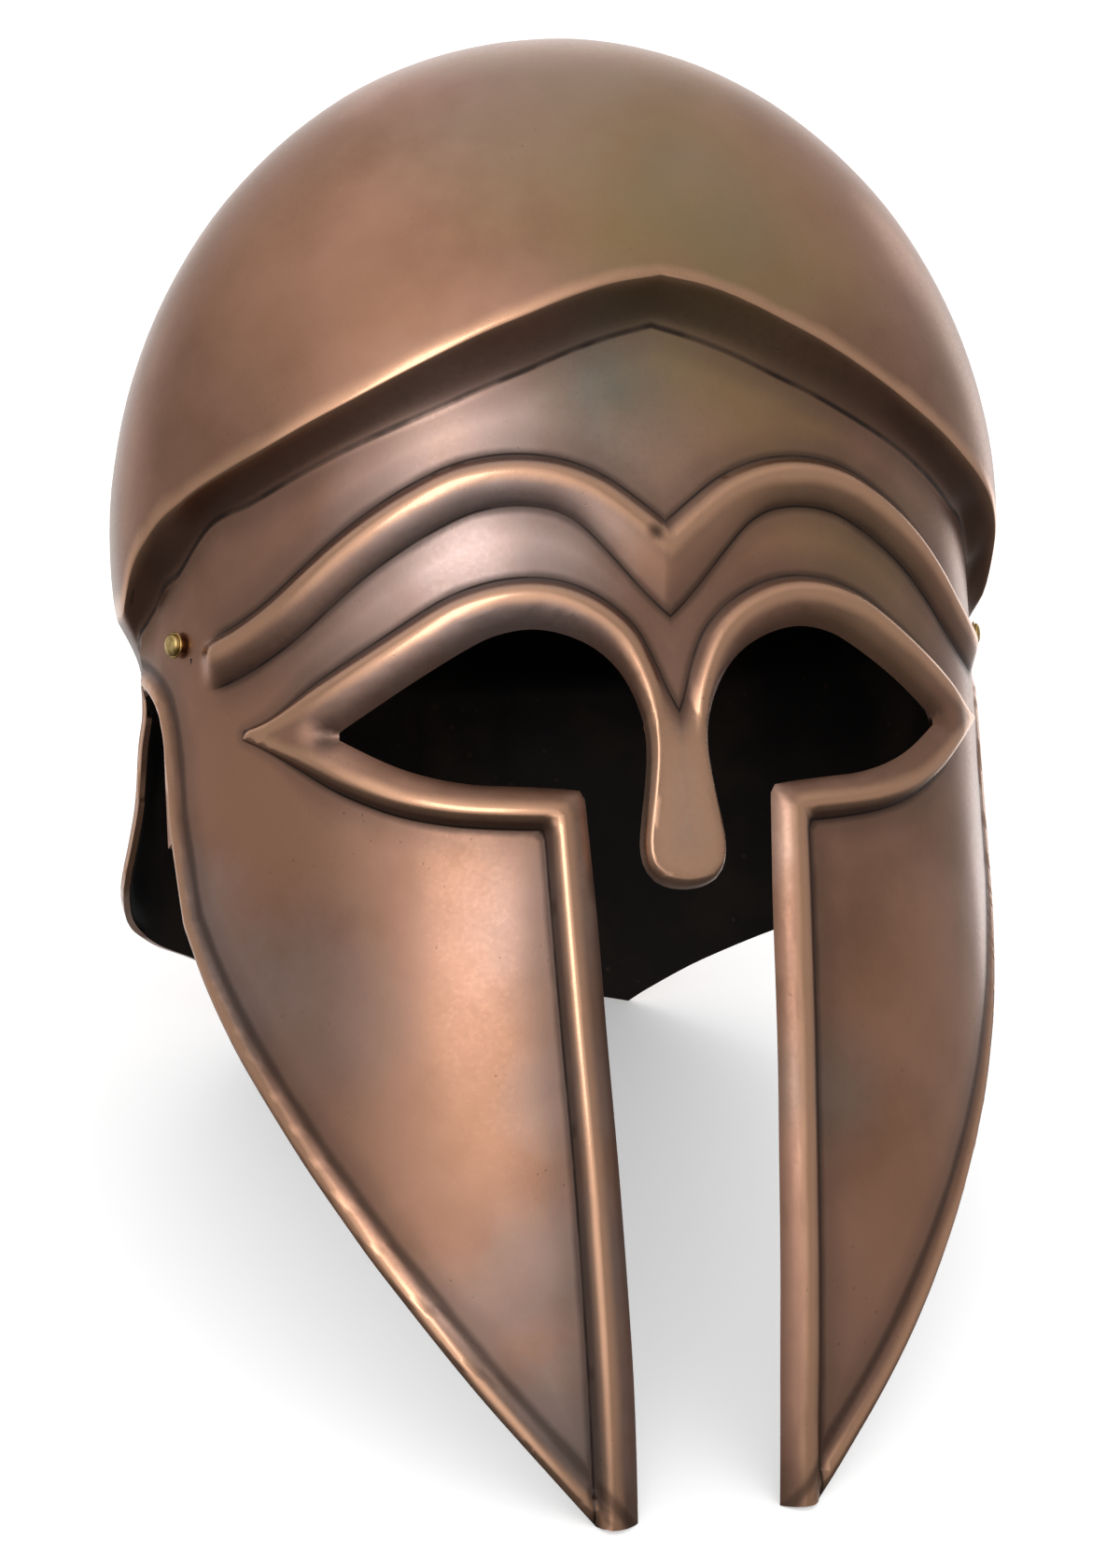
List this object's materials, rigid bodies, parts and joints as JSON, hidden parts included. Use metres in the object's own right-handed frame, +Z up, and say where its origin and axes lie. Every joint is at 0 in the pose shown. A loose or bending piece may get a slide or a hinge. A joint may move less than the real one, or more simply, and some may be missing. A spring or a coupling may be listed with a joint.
{
  "type": "italo-corinthian helmet",
  "caption": "Hollow bronze helmet with ridged dome, face plate with raised brows and eye rims, nose guard, long pointed cheek pieces and neck guard.",
  "frame": {"origin": "centre of the bounding box at its base, on the surface the helmet rests on", "axes": "face towards -Y, wearer's left at +X, +Z up; the helmet leans back by 20.2 degrees from its worn pose, as it rests on cheek tips and neck guard"},
  "size_m": [0.2206, 0.2932, 0.2732],
  "materials": {
    "aged_bronze": "aged copper-bronze, finely brushed, satin, dark brown in the hollows and bright on ridges and rims",
    "brass": "satin brass, lightly worn"
  },
  "bodies": {
    "root": {"helmet_shell": "aged_bronze", "rivet_right": "brass", "rivet_left": "brass"}
  },
  "joints": []
}
